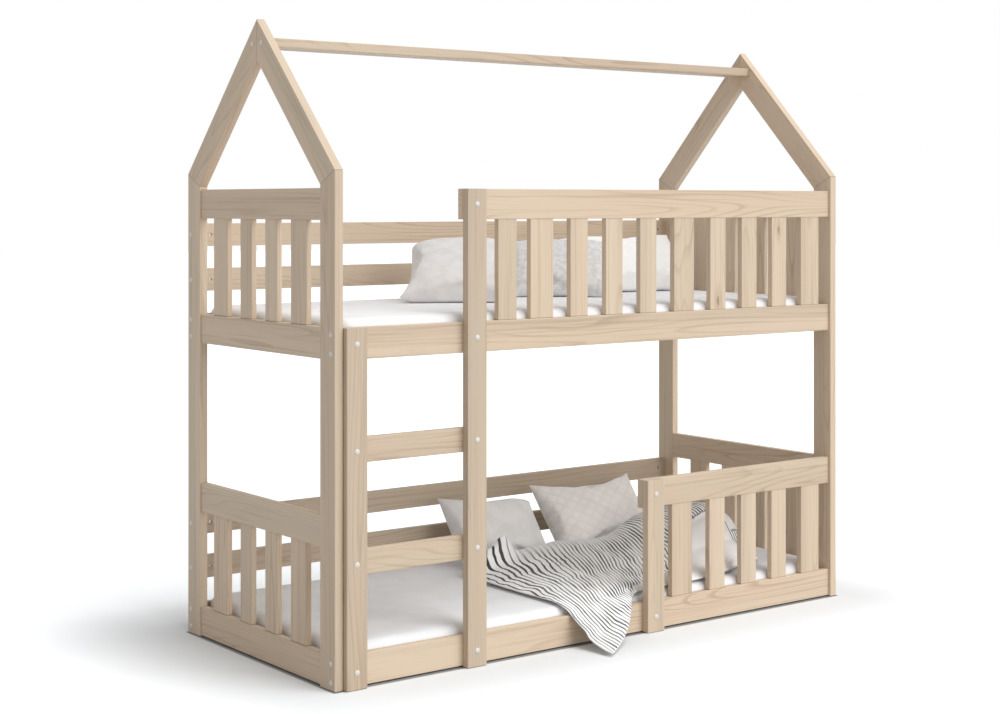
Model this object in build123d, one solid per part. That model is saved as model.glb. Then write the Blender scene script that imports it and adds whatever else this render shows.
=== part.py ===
from build123d import *

import os
from math import cos, hypot, radians, sin, sqrt

# House bunk bed in pine: two gable ends joined by rails, a ladder, guards, two slatted decks
# and the bedding. Millimetres, +Z up, X along the bed, the ladder side faces -Y.
# The origin lies on the floor under the middle of the whole model.

# Overall sizes
bed_length = 1986.0
bed_depth = 860.0
eaves_height = 1416.0
ridge_height = 1860.0

# Board sections
post_thickness = 27.0
post_width = 77.0
rafter_width = 83.0
ridge_board_width = 88.0
ridge_board_thickness = 27.0
ridge_board_drop = 56.0
rail_thickness = 22.0
rail_height = 88.0
back_guard_height = 70.0
upright_thickness = 26.0
upright_width = 67.0
rung_height = 70.0
edge_round = 2.0

# Setbacks of the rails from the posts' faces
side_rail_setback = 9.0
end_rail_setback = 5.0
upright_gap = 1.0

# Heights above the floor
floor_gap = 2.0
lower_guard_top = 469.0
upper_rail_top = 985.0
upper_guard_top = 1367.0
lower_rung_top = 375.0
upper_rung_top = 683.0
back_guard_tops = {"lower_bottom": 235.0, "lower_top": 372.0, "upper_bottom": 1124.0, "upper_top": 1263.0}

# Front openings
ladder_width = 339.0
lower_entry_width = 619.0
guard_post_width = 69.0

# Slats of the gables and the front guards, with stub tenons in the rails
end_slat_thickness = 17.0
end_slat_setback = 5.0
guard_slat_thickness = 20.0
guard_slat_setback = 2.0
narrow_slat_width = 68.0
wide_slat_width = 86.0
tenon_length = 12.0
tenon_thickness = 8.0
tenon_shoulder = 6.0
mortise_play = 0.2
upper_guard_slat_shares = (0.066, 0.154, 0.252, 0.3475, 0.443, 0.5465, 0.648, 0.744, 0.839, 0.939)
upper_guard_wide_slats = (1, 5, 9)
lower_guard_slat_shares = (0.1296, 0.3278, 0.5113, 0.6926, 0.8853)
lower_guard_wide_slats = (0, 4)
end_slat_shares = (0.187, 0.406, 0.615, 0.837)
end_wide_slats = (0, 3)
right_slat_shift = 6.0

# Decks
ledger_height = 18.0
ledger_depth = 20.0
deck_slat_thickness = 18.0
deck_slat_width = 68.0
deck_slat_count = 13
deck_play = 1.0
ledger_screw_count = 6

# Bolts, nuts, screws, dowels and caps
bolt_diameter = 6.0
bolt_hole_diameter = 7.0
bolt_head_diameter = 12.0
bolt_head_height = 3.5
counterbore_diameter = 13.0
counterbore_depth = 5.0
bolt_grip = 45.0
bolt_spread = 52.0
nut_diameter = 10.0
nut_length = 14.0
nut_inset = 34.0
nut_play = 0.2
insert_nut_length = 14.0
bolt_tip_gap = 1.0
cap_diameter = 15.0
cap_height = 2.6
cap_rim = 0.9
cap_dimple_diameter = 3.0
cap_dimple_depth = 0.9
cap_stub_diameter = 12.6
cap_stub_length = 1.4
dowel_diameter = 8.0
dowel_length = 40.0
dowel_spread = 48.0
dowel_play = 0.2
seam_dowel_length = 34.0
screw_diameter = 4.0
screw_head_diameter = 8.0
screw_head_height = 2.4
ledger_screw_length = 34.0
deck_screw_length = 32.0
screw_play = 0.1
overrun = 4.0

# Mattresses
mattress_thickness = 80.0
mattress_end_gap = 16.0
mattress_side_gap = 2.0
mattress_corner_round = 45.0
mattress_edge_round = 6.0
soft_gap = 0.4

# Pillows: thickness at the crown, and for each its width and its height up the slope
pillow_thickness = 120.0
pillow_sizes = {
    "far_pillow": (478.0, 283.0),
    "middle_pillow": (350.0, 365.0),
    "reading_pillow": (383.0, 393.0),
    "plain_pillow": (352.0, 265.0),
    "quilted_pillow": (450.0, 285.0),
}
pillow_sink = 3.0

# Places of the pillows' lower edges: shares of the inner length, shares of the inner depth on the
# upper bunk, and distances behind the duvet on the lower one. Turn and lean are in degrees.
pillow_level = {
    "far_pillow": "upper",
    "middle_pillow": "upper",
    "reading_pillow": "upper",
    "plain_pillow": "lower",
    "quilted_pillow": "lower",
}
pillow_x_shares = {
    "far_pillow": 0.835,
    "middle_pillow": 0.594,
    "reading_pillow": 0.35,
    "plain_pillow": 0.521,
    "quilted_pillow": 0.763,
}
upper_pillow_y_shares = {"far_pillow": 0.666, "middle_pillow": 0.552, "reading_pillow": 0.425}
lower_pillow_gaps = {"plain_pillow": 43.0, "quilted_pillow": 40.0}
pillow_angles = {
    "far_pillow": (-3.0, 42.0),
    "middle_pillow": (-38.0, 28.0),
    "reading_pillow": (-33.0, 28.0),
    "plain_pillow": (-4.0, 50.0),
    "quilted_pillow": (2.0, 50.0),
}
rim_level_shares = (-1.0, -0.93, -0.7, -0.36, 0.0, 0.36, 0.7, 0.93, 1.0)
rim_corner_shares = (0.2, 0.42, 0.68, 0.88, 1.0, 0.88, 0.68, 0.42, 0.2)
rim_side_shares = (0.34, 0.6, 0.8, 0.91, 0.925, 0.91, 0.8, 0.6, 0.34)

# Duvet, thrown over the lower mattress, with one corner over the front rail and on the floor
duvet_end_gap = 219.0
duvet_depth = 500.0
duvet_rise = 150.0
duvet_hem = 12.0
duvet_reach = 165.0
duvet_fall_width = 280.0
duvet_fall_thickness = 14.0
duvet_overlap = 28.0
duvet_floor_gap = 0.5
duvet_post_gap = 17.0
duvet_station_shares = (0.0, 0.07, 0.18, 0.3, 0.42, 0.55, 0.68, 0.8, 0.92, 1.0)
duvet_across_shares = (1.0, 0.8, 0.6, 0.4, 0.2, 0.03)
duvet_fold_shares = (
    (0.05, 0.07, 0.1, 0.09, 0.08, 0.05),
    (0.22, 0.34, 0.26, 0.24, 0.2, 0.12),
    (0.36, 0.3, 0.4, 0.28, 0.3, 0.18),
    (0.4, 0.5, 0.34, 0.42, 0.26, 0.2),
    (0.5, 0.46, 0.52, 0.34, 0.36, 0.2),
    (0.6, 0.72, 0.5, 0.46, 0.3, 0.2),
    (0.74, 0.8, 0.7, 0.42, 0.38, 0.2),
    (0.84, 1.0, 0.72, 0.52, 0.32, 0.18),
    (0.7, 0.86, 0.8, 0.5, 0.36, 0.16),
    (0.16, 0.26, 0.24, 0.18, 0.12, 0.06),
)
fall_station_shares = (0.0, 0.1, 0.25, 0.45, 0.7, 0.88, 1.0)
fall_drop_shares = (0.3, 1.0, 1.0, 1.0, 1.0, 0.96, 0.2)
fall_reach_shares = (0.02, 1.0, 0.7, 0.42, 0.2, 0.08, 0.02)

# Planes of the main faces
left_face = -bed_length / 2
right_face = bed_length / 2
front_face = (duvet_reach - bed_depth) / 2
back_face = front_face + bed_depth
middle_y = (front_face + back_face) / 2
left_inner = left_face + post_thickness
right_inner = right_face - post_thickness
front_rail_y = (front_face + side_rail_setback, front_face + side_rail_setback + rail_thickness)
back_rail_y = (back_face - side_rail_setback - rail_thickness, back_face - side_rail_setback)
upright_y = (front_rail_y[0] - upright_thickness, front_rail_y[0])
left_upright_x = (left_inner + upright_gap, left_inner + upright_gap + upright_width)
right_upright_x = (left_upright_x[1] + ladder_width, left_upright_x[1] + ladder_width + upright_width)
guard_post_x = (right_upright_x[1] + lower_entry_width, right_upright_x[1] + lower_entry_width + guard_post_width)
rail_length_x = (left_inner, right_inner)
end_rail_span = (front_face + post_width, back_face - post_width)
floor_rail_top = floor_gap + rail_height
inner_front = front_rail_y[1]
inner_back = back_rail_y[0]
end_rail_x = {
    "left": (left_face + end_rail_setback, left_face + end_rail_setback + rail_thickness),
    "right": (right_face - end_rail_setback - rail_thickness, right_face - end_rail_setback),
}
rail_levels = {
    "floor": floor_rail_top,
    "lower_guard": lower_guard_top,
    "deck": upper_rail_top,
    "upper_guard": upper_guard_top,
}
deck_floors = {"lower": floor_gap, "upper": upper_rail_top - rail_height}
duvet_left = guard_post_x[0] - duvet_post_gap - duvet_fall_width
duvet_width = right_inner - duvet_end_gap - duvet_left
duvet_front = inner_front + mattress_side_gap + mattress_edge_round
duvet_y = (duvet_front, duvet_front + duvet_depth)

pieces = {}
cutters = {}
bolts = []
ladder_bolts = []
cross_nuts = []
insert_nuts = []
dowels = []
caps = []
ledger_screws = []
deck_screws = []


def middle(span):
    return (span[0] + span[1]) / 2


def block(x, y, z):
    """A plain block between pairs of coordinates."""
    corner = Plane(origin=(x[0], y[0], z[0]))
    return Solid.make_box(x[1] - x[0], y[1] - y[0], z[1] - z[0], corner)


def board(x, y, z, grain):
    """A planed board whose long edges, along the grain, are eased."""
    plain = block(x, y, z)
    return fillet(plain.edges().filter_by(grain), edge_round)


def rod(start, direction, length, diameter):
    return Solid.make_cylinder(diameter / 2, length, Plane(origin=start, z_dir=direction))


def cut_into(name, cutter):
    cutters.setdefault(name, []).append(cutter)


def moved(point, direction, distance):
    return tuple(place + step * distance for place, step in zip(point, direction))


def rail_span(top, height):
    return (top - height, top)


# Gable ends: posts, rafters and end rails

def roof_line(distance):
    """Height of the roof's outer edge at a distance in from the post's outer edge."""
    return eaves_height + (ridge_height - eaves_height) * distance / (bed_depth / 2)


def roof_inner_line(distance):
    slope = (ridge_height - eaves_height) / (bed_depth / 2)
    return roof_line(distance) - rafter_width * sqrt(1 + slope * slope)


def gable_piece(outline, face_x, eased):
    """Extrudes an outline of (distance from the front or back edge, height) pairs across a gable."""
    points = [(face_x, y, z) for y, z in outline]
    face = Face(Wire.make_polygon(points))
    solid = Solid.extrude(face, Vector(post_thickness, 0, 0))
    long_edges = [edge for edge in solid.edges() if eased(edge)]
    return fillet(long_edges, edge_round)


def is_upright_edge(edge):
    return abs(edge.tangent_at(0).Z) > cos(radians(1))


def is_rafter_edge(edge):
    """The two long edges of each face of a rafter, which run up the roof's slope."""
    run = edge.tangent_at(0)
    return abs(run.X) < sin(radians(1)) and edge.length > bed_depth / 3


def build_gable(side, face_x):
    inner_mitre = roof_inner_line(post_width)
    for row, edge_y, inward in (("front", front_face, 1), ("back", back_face, -1)):
        post_outline = [
            (edge_y, 0),
            (edge_y + inward * post_width, 0),
            (edge_y + inward * post_width, inner_mitre),
            (edge_y, eaves_height),
        ]
        rafter_outline = [
            (edge_y, eaves_height),
            (edge_y + inward * post_width, inner_mitre),
            (middle_y, roof_inner_line(bed_depth / 2)),
            (middle_y, ridge_height),
        ]
        pieces[f"post_{row}_{side}"] = gable_piece(post_outline, face_x, is_upright_edge)
        pieces[f"rafter_{row}_{side}"] = gable_piece(rafter_outline, face_x, is_rafter_edge)
        mitre_dowels(row, side, edge_y, inward, inner_mitre, face_x + post_thickness / 2)
    seam_dowels(side, face_x + post_thickness / 2)
    for level, top in rail_levels.items():
        name = f"{side}_end_rail_{level}"
        z = rail_span(top, rail_height)
        pieces[name] = board(end_rail_x[side], end_rail_span, z, Axis.Y)
        for row, joint_y, outward in (("front", end_rail_span[0], -1), ("back", end_rail_span[1], 1)):
            for offset in (-dowel_spread / 2, dowel_spread / 2):
                start = (middle(end_rail_x[side]), joint_y - outward * dowel_length / 2, middle(z) + offset)
                add_dowel(start, (0, outward, 0), dowel_length, (name, f"post_{row}_{side}"))


def add_dowel(start, direction, length, names):
    """A glue dowel, and its two blind holes."""
    dowels.append(rod(start, direction, length, dowel_diameter))
    hole = rod(moved(start, direction, -dowel_play), direction, length + 2 * dowel_play,
               dowel_diameter + 2 * dowel_play)
    for name in names:
        cut_into(name, hole)


def mitre_dowels(row, side, edge_y, inward, inner_mitre, x):
    run = (inward * post_width, inner_mitre - eaves_height)
    length = hypot(*run)
    normal = (0, -run[1] * inward / length, run[0] * inward / length)
    for share in (1 / 3, 2 / 3):
        point = (x, edge_y + run[0] * share, eaves_height + run[1] * share)
        start = moved(point, normal, -seam_dowel_length / 2)
        add_dowel(start, normal, seam_dowel_length, (f"post_{row}_{side}", f"rafter_{row}_{side}"))


def seam_dowels(side, x):
    """Two dowels across the seam between the rafters, above and below the ridge bolts."""
    seam_middle = ridge_height - ridge_board_drop - ridge_board_thickness / 2
    for offset in (-dowel_spread / 2, dowel_spread / 2):
        start = (x, middle_y - seam_dowel_length / 2, seam_middle + offset)
        add_dowel(start, (0, 1, 0), seam_dowel_length, (f"rafter_front_{side}", f"rafter_back_{side}"))


# Bolts with their caps

def cap_solid():
    """A white cap with a domed top, a dimple and a stub that plugs the counterbore."""
    rim = cap_diameter / 2
    stub = cap_stub_diameter / 2
    dimple = cap_dimple_diameter / 2
    shoulder = ((rim + dimple) / 2, cap_rim + (cap_height - cap_rim) * 3 / 4)
    with BuildPart() as cap:
        with BuildSketch(Plane.XZ):
            with BuildLine():
                Polyline((0, -cap_stub_length), (stub, -cap_stub_length), (stub, 0), (rim, 0), (rim, cap_rim))
                ThreePointArc((rim, cap_rim), shoulder, (dimple, cap_height))
                Polyline((dimple, cap_height), (0, cap_height - cap_dimple_depth), (0, -cap_stub_length))
            make_face()
        revolve(axis=Axis.Z)
    return cap.part.solids()[0]


def headed_bolt(seat, direction, length):
    """A bolt whose head stands on the counterbore's floor, which faces against the direction."""
    head = rod(moved(seat, direction, -bolt_head_height), direction, bolt_head_height, bolt_head_diameter)
    shank = rod(seat, direction, length, bolt_diameter)
    return head.fuse(shank).solids()[0]


def bolt_through(name, face, direction, thickness, grip):
    """Drills a board from its outer face, and seats a bolt and a cap there."""
    seat = moved(face, direction, counterbore_depth)
    outside = moved(face, direction, -overrun)
    cut_into(name, rod(outside, direction, counterbore_depth + overrun, counterbore_diameter))
    cut_into(name, rod(outside, direction, thickness + 2 * overrun, bolt_hole_diameter))
    outward = tuple(-step for step in direction)
    place = Plane(origin=face, z_dir=outward).location
    caps.append(cap_template.moved(place))
    return headed_bolt(seat, direction, thickness - counterbore_depth + grip)


def end_bolt(board_name, rail_name, side, y, z, nut_axis):
    """A bolt through a post or gable into a rail's end, held by a cross nut."""
    outer = left_face if side == "left" else right_face
    inward = 1 if side == "left" else -1
    direction = (inward, 0, 0)
    bolts.append(bolt_through(board_name, (outer, y, z), direction, post_thickness, bolt_grip))
    joint = (outer + inward * post_thickness, y, z)
    cut_into(rail_name, rod(moved(joint, direction, -overrun), direction, bolt_grip + 2 * overrun,
                            bolt_hole_diameter))
    nut_middle = moved(joint, direction, nut_inset)
    nut_start = moved(nut_middle, nut_axis, -nut_length / 2)
    nut = rod(nut_start, nut_axis, nut_length, nut_diameter)
    thread = rod(moved(nut_middle, direction, -nut_diameter), direction, 2 * nut_diameter,
                 bolt_diameter + 2 * nut_play)
    cross_nuts.append((nut - thread).solids()[0])
    pocket_length = nut_length + rail_thickness
    cut_into(rail_name, rod(moved(nut_start, nut_axis, -nut_play), nut_axis, pocket_length,
                            nut_diameter + 2 * nut_play))


def side_rail(name, y, top, height, spread, left_post, right_post, x=rail_length_x):
    """A rail along the bed, bolted through a post at the ends that are named."""
    z = rail_span(top, height)
    pieces[name] = board(x, y, z, Axis.X)
    nut_axis = (0, 1, 0) if middle(y) < middle_y else (0, -1, 0)
    offsets = (-spread / 2, spread / 2) if spread else (0,)
    for post, side in ((left_post, "left"), (right_post, "right")):
        if post:
            for offset in offsets:
                end_bolt(post, name, side, middle(y), middle(z) + offset, nut_axis)


def front_bolt(board_name, backer, x, z):
    """A bolt through an upright into an insert nut in the rail or rung behind it."""
    face = (x, upright_y[0], z)
    direction = (0, 1, 0)
    grip = rail_thickness - bolt_tip_gap
    ladder_bolts.append(bolt_through(board_name, face, direction, upright_thickness, grip))
    back = rail_thickness + overrun
    nut_start = (x, front_rail_y[1] - insert_nut_length, z)
    nut = rod(nut_start, direction, insert_nut_length, nut_diameter)
    thread = rod(moved(nut_start, direction, -overrun), direction, insert_nut_length + 2 * overrun,
                 bolt_diameter + 2 * nut_play)
    insert_nuts.append((nut - thread).solids()[0])
    cut_into(backer, rod((x, front_rail_y[0] - overrun, z), direction, back, bolt_hole_diameter))
    cut_into(backer, rod(nut_start, direction, insert_nut_length + overrun, nut_diameter + 2 * nut_play))


# Guards with slats

def tenoned_slat(x, y, z, along):
    """A slat between two rails, with a stub tenon at the top and the bottom."""
    body = board(x, y, z, Axis.Z)
    tenon_z = (z[0] - tenon_length, z[1] + tenon_length)
    if along == "x":
        tenon_y = (middle(y) - tenon_thickness / 2, middle(y) + tenon_thickness / 2)
        tenon_x = (x[0] + tenon_shoulder, x[1] - tenon_shoulder)
    else:
        tenon_x = (middle(x) - tenon_thickness / 2, middle(x) + tenon_thickness / 2)
        tenon_y = (y[0] + tenon_shoulder, y[1] - tenon_shoulder)
    tenon = block(tenon_x, tenon_y, tenon_z)
    mortise = block(
        (tenon_x[0] - mortise_play, tenon_x[1] + mortise_play),
        (tenon_y[0] - mortise_play, tenon_y[1] + mortise_play),
        (tenon_z[0] - mortise_play, tenon_z[1] + mortise_play),
    )
    return body.fuse(tenon).solids()[0], mortise


def slat_row(name, span, across, z, shares, wide_places, along, rails):
    """A row of slats whose middles lie at shares of the span, as one group of separate boards."""
    slats = []
    for place, share in enumerate(shares):
        width = wide_slat_width if place in wide_places else narrow_slat_width
        centre = span[0] + (span[1] - span[0]) * share
        run = (centre - width / 2, centre + width / 2)
        x, y = (run, across) if along == "x" else (across, run)
        slat, mortise = tenoned_slat(x, y, z, along)
        slats.append(slat)
        for rail in rails:
            cut_into(rail, mortise)
    pieces[name] = Compound(children=slats)


def build_end_slats(side):
    """The slats of one gable. The right gable is the left one turned round, its slats a little further front."""
    outer, inward = (0, 1) if side == "left" else (1, -1)
    face = end_rail_x[side][outer] + inward * end_slat_setback
    across = tuple(sorted((face, face + inward * end_slat_thickness)))
    shares = end_slat_shares
    if side == "right":
        shift = right_slat_shift / (end_rail_span[1] - end_rail_span[0])
        shares = tuple(1 - share - shift for share in reversed(end_slat_shares))
    for part, low, high in (("lower", "floor", "lower_guard"), ("upper", "deck", "upper_guard")):
        z = (rail_levels[low], rail_levels[high] - rail_height)
        rails = (f"{side}_end_rail_{low}", f"{side}_end_rail_{high}")
        slat_row(f"{side}_{part}_end_slats", end_rail_span, across, z, shares, end_wide_slats, "y", rails)


def build_front():
    """The front rails, the ladder and the two front guards."""
    side_rail("front_rail_lower", front_rail_y, floor_rail_top, rail_height, bolt_spread,
              "post_front_left", "post_front_right")
    side_rail("front_rail_upper", front_rail_y, upper_rail_top, rail_height, bolt_spread,
              "post_front_left", "post_front_right")
    side_rail("upper_guard_top_rail", front_rail_y, upper_guard_top, rail_height, bolt_spread,
              None, "post_front_right", (right_upright_x[0], right_inner))
    side_rail("lower_guard_top_rail", front_rail_y, lower_guard_top, rail_height, bolt_spread,
              None, "post_front_right", (guard_post_x[0], right_inner))
    rung_x = (left_upright_x[0], right_upright_x[1])
    for name, top in (("ladder_rung_lower", lower_rung_top), ("ladder_rung_upper", upper_rung_top)):
        pieces[name] = board(rung_x, front_rail_y, rail_span(top, rung_height), Axis.X)
    pieces["ladder_upright_left"] = board(left_upright_x, upright_y, (0, upper_rail_top), Axis.Z)
    pieces["ladder_upright_right"] = board(right_upright_x, upright_y, (0, upper_guard_top), Axis.Z)
    pieces["lower_guard_post"] = board(guard_post_x, upright_y, (0, lower_guard_top), Axis.Z)
    shared_backers = {
        "front_rail_lower": floor_rail_top - rail_height / 2,
        "ladder_rung_lower": lower_rung_top - rung_height / 2,
        "ladder_rung_upper": upper_rung_top - rung_height / 2,
        "front_rail_upper": upper_rail_top - rail_height / 2,
    }
    for backer, z in shared_backers.items():
        front_bolt("ladder_upright_left", backer, middle(left_upright_x), z)
        front_bolt("ladder_upright_right", backer, middle(right_upright_x), z)
    front_bolt("ladder_upright_right", "upper_guard_top_rail", middle(right_upright_x),
               upper_guard_top - rail_height / 2)
    front_bolt("lower_guard_post", "front_rail_lower", middle(guard_post_x), floor_rail_top - rail_height / 2)
    front_bolt("lower_guard_post", "lower_guard_top_rail", middle(guard_post_x),
               lower_guard_top - rail_height / 2)
    slat_y = (front_rail_y[0] + guard_slat_setback,
              front_rail_y[0] + guard_slat_setback + guard_slat_thickness)
    slat_row("upper_guard_slats", (right_upright_x[1], right_inner), slat_y,
             (upper_rail_top, upper_guard_top - rail_height), upper_guard_slat_shares,
             upper_guard_wide_slats, "x", ("front_rail_upper", "upper_guard_top_rail"))
    slat_row("lower_guard_slats", (guard_post_x[1], right_inner), slat_y,
             (floor_rail_top, lower_guard_top - rail_height), lower_guard_slat_shares,
             lower_guard_wide_slats, "x", ("front_rail_lower", "lower_guard_top_rail"))


def build_back():
    for name, top in (("back_rail_lower", floor_rail_top), ("back_rail_upper", upper_rail_top)):
        side_rail(name, back_rail_y, top, rail_height, bolt_spread, "post_back_left", "post_back_right")
    for level, top in back_guard_tops.items():
        side_rail(f"back_guard_{level}", back_rail_y, top, back_guard_height, 0,
                  "post_back_left", "post_back_right")


def build_ridge():
    top = ridge_height - ridge_board_drop
    y = (middle_y - ridge_board_width / 2, middle_y + ridge_board_width / 2)
    z = rail_span(top, ridge_board_thickness)
    pieces["ridge_board"] = board(rail_length_x, y, z, Axis.X)
    for side in ("left", "right"):
        for row, offset in (("front", -bolt_spread / 2), ("back", bolt_spread / 2)):
            end_bolt(f"rafter_{row}_{side}", "ridge_board", side, middle_y + offset, middle(z), (0, 0, 1))


# Decks

def countersunk_screw(head_face, direction, length):
    head = rod(head_face, direction, screw_head_height, screw_head_diameter)
    shank = rod(head_face, direction, length, screw_diameter)
    return head.fuse(shank).solids()[0]


def drive_screw(head_face, direction, length, names):
    """A screw, and the hole that it fills in each board it passes."""
    hole = rod(moved(head_face, direction, -overrun), direction, length + overrun + screw_play,
               screw_diameter + 2 * screw_play)
    recess = rod(moved(head_face, direction, -overrun), direction, screw_head_height + overrun,
                 screw_head_diameter + 2 * screw_play)
    for name in names:
        cut_into(name, hole)
    cut_into(names[0], recess)
    return countersunk_screw(head_face, direction, length)


def evenly(span, count):
    """Middles of a number of equal bays along a span."""
    bay = (span[1] - span[0]) / count
    return [span[0] + bay * (place + 1 / 2) for place in range(count)]


def build_deck(level):
    floor = deck_floors[level]
    ledger_z = (floor, floor + ledger_height)
    slat_z = (ledger_z[1], ledger_z[1] + deck_slat_thickness)
    ledger_rows = {
        "front": ((inner_front, inner_front + ledger_depth), (0, -1, 0), inner_front + ledger_depth),
        "back": ((inner_back - ledger_depth, inner_back), (0, 1, 0), inner_back - ledger_depth),
    }
    slats = [
        board((x - deck_slat_width / 2, x + deck_slat_width / 2),
              (inner_front + deck_play, inner_back - deck_play), slat_z, Axis.Y)
        for x in evenly(rail_length_x, deck_slat_count)
    ]
    deck_name = f"{level}_deck_slats"
    for row, (y, direction, head_y) in ledger_rows.items():
        name = f"{row}_ledger_{level}"
        rail = f"{row}_rail_{level}"
        pieces[name] = board(rail_length_x, y, ledger_z, Axis.X)
        for x in evenly(rail_length_x, ledger_screw_count):
            ledger_screws.append(drive_screw((x, head_y, middle(ledger_z)), direction, ledger_screw_length,
                                             (name, rail)))
        for x in evenly(rail_length_x, deck_slat_count):
            deck_screws.append(drive_screw((x, middle(y), slat_z[1]), (0, 0, -1), deck_screw_length,
                                           (deck_name, name)))
    pieces[deck_name] = Compound(children=slats)


# Mattresses, pillows and the duvet

def mattress_top(level):
    return deck_floors[level] + ledger_height + deck_slat_thickness + mattress_thickness


def build_mattress(level):
    x = (left_inner + mattress_end_gap, right_inner - mattress_end_gap)
    y = (inner_front + mattress_side_gap, inner_back - mattress_side_gap)
    z = (mattress_top(level) - mattress_thickness, mattress_top(level))
    plain = block(x, y, z)
    rounded = fillet(plain.edges().filter_by(Axis.Z), mattress_corner_round)
    rims = rounded.faces().sort_by(Axis.Z)
    edges = rims[0].edges() + rims[-1].edges()
    pieces[f"{level}_mattress"] = fillet(edges, mattress_edge_round)


def cushion(width, height, thickness):
    """A filled cushion lying on XY: crowned faces, pointed corners and sides drawn in between them."""
    rims = []
    for level, corner, side in zip(rim_level_shares, rim_corner_shares, rim_side_shares):
        half_width = width / 2
        half_height = height / 2
        z = thickness / 2 * level
        corners = [(sx * half_width * corner, sy * half_height * corner, z)
                   for sx, sy in ((-1, -1), (1, -1), (1, 1), (-1, 1))]
        sides = [(0, -half_height * side, z), (half_width * side, 0, z),
                 (0, half_height * side, z), (-half_width * side, 0, z)]
        arcs = [Edge.make_three_point_arc(corners[place], sides[place], corners[(place + 1) % 4])
                for place in range(4)]
        rims.append(Wire(arcs))
    return Solid.make_loft(rims, ruled=True)


def leaning(solid, foot, turn, lean, height):
    """Stands a cushion's lower edge on a foot point, turned about Z and leaning back from level."""
    across = Vector(cos(radians(turn)), sin(radians(turn)), 0)
    back = Vector(-across.Y, across.X, 0)
    up_slope = back * cos(radians(lean)) + Vector(0, 0, sin(radians(lean)))
    normal = across.cross(up_slope)
    centre = Vector(*foot) + up_slope * (height / 2)
    return solid.moved(Plane(origin=centre, x_dir=across, z_dir=normal).location)


def trim_pillow(solid, level, others=()):
    """Flattens a pillow where it rests on the mattress, the back rails and its neighbours."""
    far = bed_length
    top = mattress_top(level) + soft_gap
    below = block((-far, far), (-far, far), (-far, top))
    behind = block((-far, far), (inner_back - soft_gap, far), (-far, 2 * far))
    return (solid - [below, behind, *others]).solids().sort_by(SortBy.VOLUME)[-1]


def pillow_foot(name):
    """The middle of a pillow's lower edge, sunk a little into the mattress before it is cut flat."""
    if name in lower_pillow_gaps:
        y = duvet_y[1] + lower_pillow_gaps[name]
    else:
        y = inner_front + (inner_back - inner_front) * upper_pillow_y_shares[name]
    x = left_inner + (right_inner - left_inner) * pillow_x_shares[name]
    return (x, y, mattress_top(pillow_level[name]) - pillow_sink)


def placed_cushion(name, extra):
    width, height = pillow_sizes[name]
    turn, lean = pillow_angles[name]
    solid = cushion(width + extra, height + extra, pillow_thickness + extra)
    return leaning(solid, pillow_foot(name), turn, lean, height)


def build_pillows():
    laid = []
    for name, level in pillow_level.items():
        others = [placed_cushion(other, 2 * soft_gap) for other in laid if pillow_level[other] == level]
        pieces[name] = trim_pillow(placed_cushion(name, 0), level, others)
        laid.append(name)


def duvet_spread():
    """The part that lies on the mattress: folded ridges that rise towards the far end."""
    under = mattress_top("lower") + soft_gap
    sections = []
    for station, folds in zip(duvet_station_shares, duvet_fold_shares):
        x = duvet_left + duvet_width * station
        ridge = [(x, duvet_front + duvet_depth * across, under + duvet_hem + duvet_rise * fold)
                 for across, fold in zip(duvet_across_shares, folds)]
        hem = [(x, duvet_y[0], under), (x, duvet_y[1], under)]
        sections.append(Wire.make_polygon(ridge + hem))
    return Solid.make_loft(sections, ruled=True)


def duvet_fall():
    """The corner that falls over the front rail and trails on the floor."""
    top = mattress_top("lower")
    rail_top = floor_rail_top + soft_gap
    face = front_rail_y[0] - soft_gap
    mattress_edge = inner_front + mattress_side_gap
    lap = duvet_front + duvet_overlap
    thick = duvet_fall_thickness
    sections = []
    for station, drop, reach in zip(fall_station_shares, fall_drop_shares, fall_reach_shares):
        x = duvet_left + duvet_fall_width * station
        low = rail_top - (rail_top - duvet_floor_gap) * drop
        tip = front_face - duvet_reach * reach
        outline = [
            (lap, top + soft_gap),
            (mattress_edge, top + soft_gap),
            (face, rail_top),
            (face, low),
            (tip, low),
            (tip, low + thick / 3),
            (face - thick, low + thick),
            (face - thick, rail_top + thick / 2),
            (mattress_edge, top + thick),
            (lap, top + thick),
        ]
        sections.append(Wire.make_polygon([(x, y, z) for y, z in outline]))
    return Solid.make_loft(sections, ruled=True)


def build_duvet():
    both = duvet_spread().fuse(duvet_fall())
    pieces["duvet"] = both.solids().sort_by(SortBy.VOLUME)[-1]


cap_template = cap_solid()
build_gable("left", left_face)
build_gable("right", right_inner)
build_end_slats("left")
build_end_slats("right")
build_front()
build_back()
build_ridge()
build_deck("lower")
build_deck("upper")
build_mattress("lower")
build_mattress("upper")
build_pillows()
build_duvet()
pieces["frame_bolts"] = Compound(children=bolts)
pieces["ladder_bolts"] = Compound(children=ladder_bolts)
pieces["cross_nuts"] = Compound(children=cross_nuts)
pieces["insert_nuts"] = Compound(children=insert_nuts)
pieces["glue_dowels"] = Compound(children=dowels)
pieces["bolt_caps"] = Compound(children=caps)
pieces["ledger_screws"] = Compound(children=ledger_screws)
pieces["deck_screws"] = Compound(children=deck_screws)

os.makedirs("parts", exist_ok=True)
for name, piece in pieces.items():
    drilled = [
        solid - cutters[name] if name in cutters else solid
        for solid in piece.solids()
    ]
    solids = [solid for shape in drilled for solid in shape.solids()]
    whole = solids[0] if len(solids) == 1 else Compound(children=solids)
    export_step(whole, f"parts/{name}.step")
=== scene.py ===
import math

import bmesh
import bpy
from mathutils import Matrix, Vector, noise
from mathutils.bvhtree import BVHTree


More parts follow.
